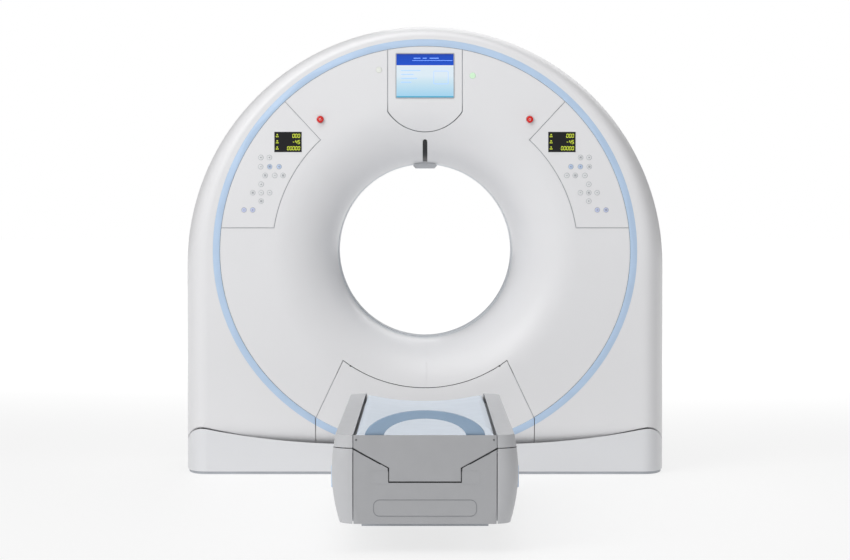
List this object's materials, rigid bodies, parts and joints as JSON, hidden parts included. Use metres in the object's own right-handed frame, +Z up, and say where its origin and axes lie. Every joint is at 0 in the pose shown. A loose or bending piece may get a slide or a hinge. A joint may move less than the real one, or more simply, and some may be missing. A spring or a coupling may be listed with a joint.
{
  "type": "ct scanner",
  "caption": "Tilting CT gantry with a turning scan unit behind its round bore, and a patient couch on a scissor lift whose top slides into the bore.",
  "frame": {"origin": "on the floor right under the isocentre, the middle of the bore on the tilt axis", "axes": "+Y along the bore from the couch to the gantry's rear, +X to the right seen from the couch, +Z up"},
  "size_m": [2.1006, 3.62, 1.958],
  "materials": {
    "gantry_white": "satin moulded cover",
    "couch_grey": "satin moulded cover",
    "sky_blue": "satin",
    "handle_blue": "satin",
    "liner": "smooth",
    "window_film": "translucent film",
    "black_window": "black acrylic",
    "screen": "lit display",
    "keycap": "membrane keys",
    "stop_red": "moulded",
    "lamp": "lamp lens",
    "sensor_grey": "moulded",
    "frame_paint": "painted steel",
    "steel": "machined steel",
    "aluminium": "machined aluminium",
    "motor_paint": "painted",
    "belt_rubber": "flat belt",
    "skirt_grey": "painted sheet",
    "carbon": "carbon fibre laminate",
    "mat_blue": "soft vinyl",
    "tube_lead": "lead-lined housing",
    "electronics": "module housing",
    "slip_copper": "contact tracks",
    "fan_black": "moulded"
  },
  "bodies": {
    "floor_structure": {"base_cover": "gantry_white", "gantry_base_frame": "frame_paint", "tilt_bearings": "steel", "tilt_drive": "motor_paint", "floor_duct": "frame_paint", "couch_base": "frame_paint", "couch_lower_cover": "couch_grey", "couch_lower_end_panel": "couch_grey", "lift_motor": "motor_paint"},
    "tilting_gantry": {"front_shell": "gantry_white", "lower_panel": "gantry_white", "ring_trim": "sky_blue", "front_cover": "gantry_white", "control_panels": "gantry_white", "monitor_panel": "gantry_white", "laser_window": "black_window", "rear_cover": "gantry_white", "rear_shell": "gantry_white", "cover_frame": "frame_paint", "led_windows": "black_window", "display_screen": "screen", "keys": "keycap", "stop_bezels": "gantry_white", "status_lamps": "lamp", "funnel_strip": "sky_blue", "patient_sensor": "sensor_grey", "bore_liners": "liner", "scan_window": "window_film", "tilt_frame": "frame_paint", "bearing_outer_race": "steel", "rotor_motor": "motor_paint", "drive_belt": "belt_rubber", "cooling_fans": "fan_black"},
    "scan_rotor": {"rotor_drum": "aluminium", "bearing_inner_race": "steel", "slip_ring": "slip_copper", "xray_tube": "tube_lead", "collimator": "aluminium", "detector_array": "electronics", "high_voltage_generator": "electronics", "heat_exchanger": "aluminium", "rotor_computer": "electronics"},
    "motor_pulley": {"drive_pulley": "steel"},
    "stop_button_left": {"emergency_stop_left": "stop_red"},
    "stop_button_right": {"emergency_stop_right": "stop_red"},
    "scissor_arm_a": {"lift_arm_a": "frame_paint"},
    "scissor_arm_b": {"lift_arm_b": "frame_paint"},
    "screw_nut": {"lift_nut": "steel"},
    "screw": {"lift_screw": "steel"},
    "couch_upper": {"couch_top_frame": "frame_paint", "couch_upper_cover": "couch_grey", "couch_upper_end_panel": "couch_grey", "skirt_inner": "skirt_grey", "table_drive": "motor_paint"},
    "sleeve_outer": {"skirt_outer": "skirt_grey"},
    "sleeve_middle": {"skirt_middle": "skirt_grey"},
    "table": {"tabletop": "carbon", "mat": "mat_blue", "table_rails": "aluminium", "end_handle": "handle_blue"}
  },
  "joints": [
    {"name": "gantry_tilt", "type": "hinge", "parent": "floor_structure", "child": "tilting_gantry", "pos_m": [0, 0, 0.97], "axis": [1, 0, 0], "range_deg": [-25, 25]},
    {"name": "rotor_spin", "type": "hinge", "parent": "tilting_gantry", "child": "scan_rotor", "pos_m": [0, 0, 0.97], "axis": [0, 1, 0], "continuous": true},
    {"name": "pulley_spin", "type": "hinge", "parent": "tilting_gantry", "child": "motor_pulley", "pos_m": [0.63316, 0, 1.5401], "axis": [0, 1, 0], "continuous": true},
    {"name": "stop_left_press", "type": "slide", "parent": "tilting_gantry", "child": "stop_button_left", "axis": [0, 1, 0], "range_m": [0, 0.004], "stiffness_N_per_m": 600},
    {"name": "stop_right_press", "type": "slide", "parent": "tilting_gantry", "child": "stop_button_right", "axis": [0, 1, 0], "range_m": [0, 0.004], "stiffness_N_per_m": 600},
    {"name": "couch_lift", "type": "hinge", "parent": "floor_structure", "child": "scissor_arm_a", "pos_m": [0, -1.3, 0.11], "axis": [-1, 0, 0], "range_deg": [0, 37.52]},
    {"name": "scissor_cross", "type": "hinge", "parent": "scissor_arm_a", "child": "scissor_arm_b", "pos_m": [0, -1.79298, 0.1935], "axis": [1, 0, 0], "range_deg": [0, 75.06]},
    {"name": "couch_level", "type": "hinge", "parent": "scissor_arm_b", "child": "couch_upper", "pos_m": [0, -1.3, 0.277], "axis": [-1, 0, 0], "range_deg": [0, 37.53]},
    {"name": "nut_level", "type": "hinge", "parent": "scissor_arm_b", "child": "screw_nut", "pos_m": [0, -2.28596, 0.11], "axis": [-1, 0, 0], "range_deg": [0, 37.53]},
    {"name": "screw_spin", "type": "hinge", "parent": "floor_structure", "child": "screw", "pos_m": [0, -2.28596, 0.062], "axis": [0, 1, 0], "range_deg": [0, 5505.93]},
    {"name": "outer_sleeve_rise", "type": "slide", "parent": "floor_structure", "child": "sleeve_outer", "axis": [0, 0, 1], "range_m": [0, 0.18877]},
    {"name": "middle_sleeve_rise", "type": "slide", "parent": "floor_structure", "child": "sleeve_middle", "axis": [0, 0, 1], "range_m": [0, 0.37743]},
    {"name": "table_travel", "type": "slide", "parent": "couch_upper", "child": "table", "axis": [0, 1, 0], "range_m": [0, 1.6001]}
  ],
  "couplings": [
    {"joint": "pulley_spin", "follows": "rotor_spin", "ratio": 14.02},
    {"joint": "scissor_cross", "follows": "couch_lift", "ratio": 2},
    {"joint": "couch_level", "follows": "couch_lift", "ratio": 1},
    {"joint": "nut_level", "follows": "couch_lift", "ratio": 1},
    {"joint": "screw_spin", "follows": "couch_lift", "ratio": 146.7},
    {"joint": "outer_sleeve_rise", "follows": "couch_lift", "m_per_rad": 0.28807},
    {"joint": "middle_sleeve_rise", "follows": "couch_lift", "m_per_rad": 0.57614},
    {"joint": "table_travel", "follows": "couch_lift", "m_per_rad": 2.443}
  ]
}
